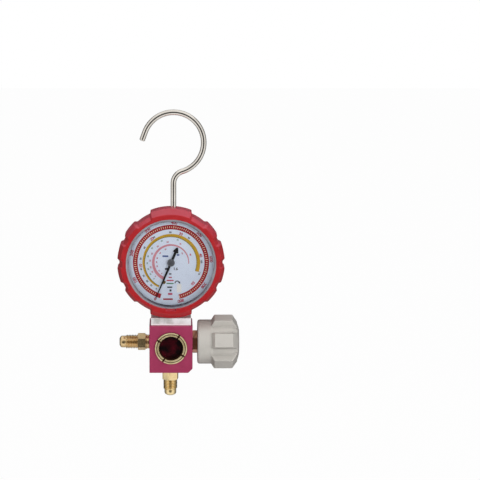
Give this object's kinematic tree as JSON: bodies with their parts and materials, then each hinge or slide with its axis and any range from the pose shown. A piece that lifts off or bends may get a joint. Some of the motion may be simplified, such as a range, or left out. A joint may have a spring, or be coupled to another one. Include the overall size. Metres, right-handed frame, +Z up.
{
  "type": "refrigeration manifold gauge",
  "caption": "Single-valve refrigeration manifold: a booted dial gauge over an anodised block with a sight glass, flare hose ports, a lobed handwheel and a wire hanging hook.",
  "frame": {"origin": "the point inside the top of the hook's loop that bears on a nail or rail, on the hook's swivel axis", "axes": "+Z up along the hook's stem, the dial faces -Y, +X to the reader's right, towards the handwheel"},
  "size_m": [0.0961, 0.044, 0.2282],
  "materials": {
    "boot_rubber": "satin moulded rubber",
    "polished_wire": "polished",
    "case_steel": "satin",
    "bezel_metal": "polished",
    "lens_clear": "clear",
    "dial_print": "printed satin white",
    "pointer_black": "matt black",
    "works_brass": "machined",
    "fitting_brass": "machined",
    "screw_steel": "zinc plated",
    "seal_black": "matt",
    "seal_white": "satin",
    "block_anodised": "anodised magenta, bare at the neck",
    "sight_clear": "clear over a dark red well",
    "wheel_satin": "satin silver paint"
  },
  "bodies": {
    "manifold": {"gauge_boot": "boot_rubber", "gauge_case": "case_steel", "bezel_ring": "bezel_metal", "gauge_lens": "lens_clear", "lens_gasket": "seal_black", "dial_plate": "dial_print", "dial_posts": "works_brass", "hairspring": "works_brass", "bourdon_tube": "works_brass", "movement_front_plate": "works_brass", "movement_rear_plate": "works_brass", "movement_pillars": "works_brass", "movement_screws": "screw_steel", "gauge_socket": "fitting_brass", "restrictor": "fitting_brass", "stem_seal": "seal_white", "case_screws": "screw_steel", "case_spacers": "works_brass", "manifold_block": "block_anodised", "side_port_fitting": "fitting_brass", "lower_port_fitting": "fitting_brass", "port_o_rings": "seal_black", "sight_glass_ring": "fitting_brass", "sight_glass_lens": "sight_clear", "sight_glass_seal": "seal_black", "valve_bonnet": "fitting_brass", "bonnet_o_ring": "seal_black"},
    "hook": {"hook": "polished_wire", "hook_washer": "screw_steel"},
    "valve_piston": {"valve_piston": "fitting_brass", "piston_seal": "seal_white"},
    "handwheel": {"handwheel": "wheel_satin", "valve_stem": "screw_steel", "stem_o_ring": "seal_black", "wheel_washer": "screw_steel", "wheel_screw": "screw_steel", "wheel_cap": "wheel_satin"},
    "pointer": {"pointer": "pointer_black", "pointer_hub": "bezel_metal", "pinion_arbor": "works_brass"},
    "sector": {"sector_gear": "works_brass", "sector_arbor": "screw_steel"},
    "tube_tip": {"tube_end": "works_brass", "link_pin": "works_brass"},
    "link": {"link": "works_brass"},
    "zero_screw": {"zero_screw": "fitting_brass"}
  },
  "joints": [
    {"name": "hook_swivel", "type": "hinge", "parent": "manifold", "child": "hook", "pos_m": [0, 0, -0.0738], "axis": [0, 0, 1], "continuous": true},
    {"name": "knob_turn", "type": "hinge", "parent": "valve_piston", "child": "handwheel", "pos_m": [0.03, 0, -0.1803], "axis": [1, 0, 0], "range_deg": [0, 720]},
    {"name": "valve_lift", "type": "slide", "parent": "manifold", "child": "valve_piston", "axis": [1, 0, 0], "range_m": [0, 0.003]},
    {"name": "pointer_turn", "type": "hinge", "parent": "manifold", "child": "pointer", "pos_m": [-0.0019, -0.008, -0.1151], "axis": [0, 1, 0], "range_deg": [-6.3, 323], "stiffness_Nm_per_rad": 0.0005, "deforming": ["hairspring", "bourdon_tube"]},
    {"name": "sector_turn", "type": "hinge", "parent": "manifold", "child": "sector", "pos_m": [-0.0019, 0, -0.1313], "axis": [0, 1, 0], "range_deg": [-40.5, 0.9]},
    {"name": "tube_flex", "type": "hinge", "parent": "manifold", "child": "tube_tip", "pos_m": [-0.00625, 0, -0.1076], "axis": [0, 1, 0], "range_deg": [-6.2, 0.2]},
    {"name": "link_turn", "type": "hinge", "parent": "tube_tip", "child": "link", "pos_m": [0.0166, 0, -0.1206], "axis": [0, 1, 0], "range_deg": [-0.2, 8]},
    {"name": "zero_turn", "type": "hinge", "parent": "manifold", "child": "zero_screw", "pos_m": [-0.0074, -0.007, -0.1309], "axis": [0, 1, 0], "range_deg": [-60, 60]}
  ],
  "couplings": [
    {"joint": "valve_lift", "follows": "knob_turn", "m_per_rad": 0.00023873},
    {"joint": "sector_turn", "follows": "pointer_turn", "ratio": -0.125},
    {"joint": "tube_flex", "follows": "pointer_turn", "ratio": -0.018985},
    {"joint": "link_turn", "follows": "pointer_turn", "ratio": 0.024554}
  ]
}
